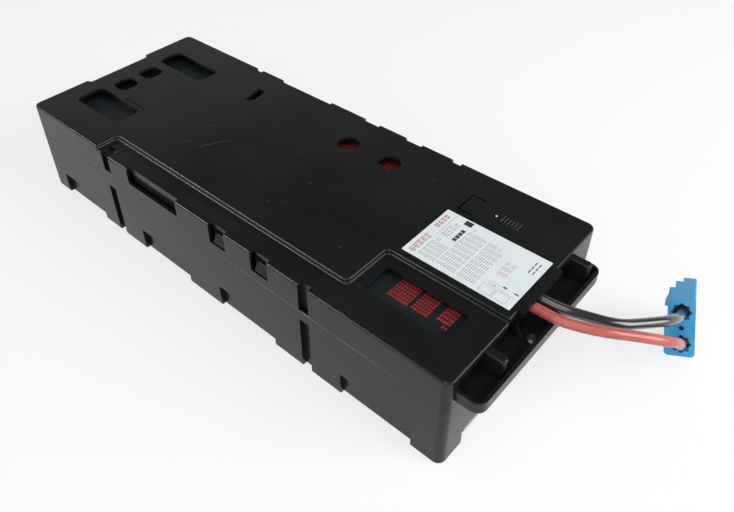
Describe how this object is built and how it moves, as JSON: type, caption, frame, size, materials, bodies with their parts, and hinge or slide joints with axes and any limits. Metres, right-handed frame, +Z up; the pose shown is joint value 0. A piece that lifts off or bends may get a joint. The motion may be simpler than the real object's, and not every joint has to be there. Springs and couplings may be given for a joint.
{
  "type": "ups battery cartridge",
  "caption": "Long black battery cartridge: tray, clip-on stepped cover with pull pan, sealed batteries in a row, red and black leads to a blue two-pole connector.",
  "frame": {"origin": "centre of the underside of the case, pull pan included", "axes": "+Z up from the floor, +Y along the case from the lead end to the far end, +X across the case"},
  "size_m": [0.2096, 0.4972, 0.0808],
  "materials": {
    "case_black": "moulded black ABS, satin to glossy",
    "battery_case": "dark grey ABS",
    "tinned_tab": "tinned",
    "foam": "closed-cell foam",
    "black_wire": "glossy PVC",
    "red_wire": "glossy PVC",
    "clear_nylon": "natural nylon",
    "connector_blue": "moulded polycarbonate",
    "silver_contact": "silver-plated copper",
    "spring_steel": "stainless strip",
    "screw_steel": "blackened",
    "label_white": "satin film"
  },
  "bodies": {
    "root": {"bottom_tray": "case_black", "top_cover": "case_black", "battery_1": "battery_case", "battery_2": "battery_case", "battery_3": "battery_case", "battery_4": "battery_case", "battery_1_terminals": "tinned_tab", "battery_2_terminals": "tinned_tab", "battery_3_terminals": "tinned_tab", "battery_4_terminals": "tinned_tab", "foam_pad_1": "foam", "foam_pad_2": "foam", "foam_pad_3": "foam", "foam_pad_4": "foam", "jumper_1_2": "black_wire", "jumper_2_3": "black_wire", "jumper_3_4": "black_wire", "jumper_1_2_receptacles": "clear_nylon", "jumper_2_3_receptacles": "clear_nylon", "jumper_3_4_receptacles": "clear_nylon", "positive_receptacle": "clear_nylon", "negative_receptacle": "clear_nylon", "negative_inner_lead": "black_wire", "positive_inner_lead": "red_wire", "lead_saddle": "case_black", "positive_lead": "red_wire", "negative_lead": "black_wire", "connector_housing": "connector_blue", "positive_contact": "silver_contact", "negative_contact": "silver_contact", "contact_springs": "spring_steel", "front_screw": "screw_steel", "cover_label": "label_white", "front_label": "label_white"}
  },
  "joints": []
}
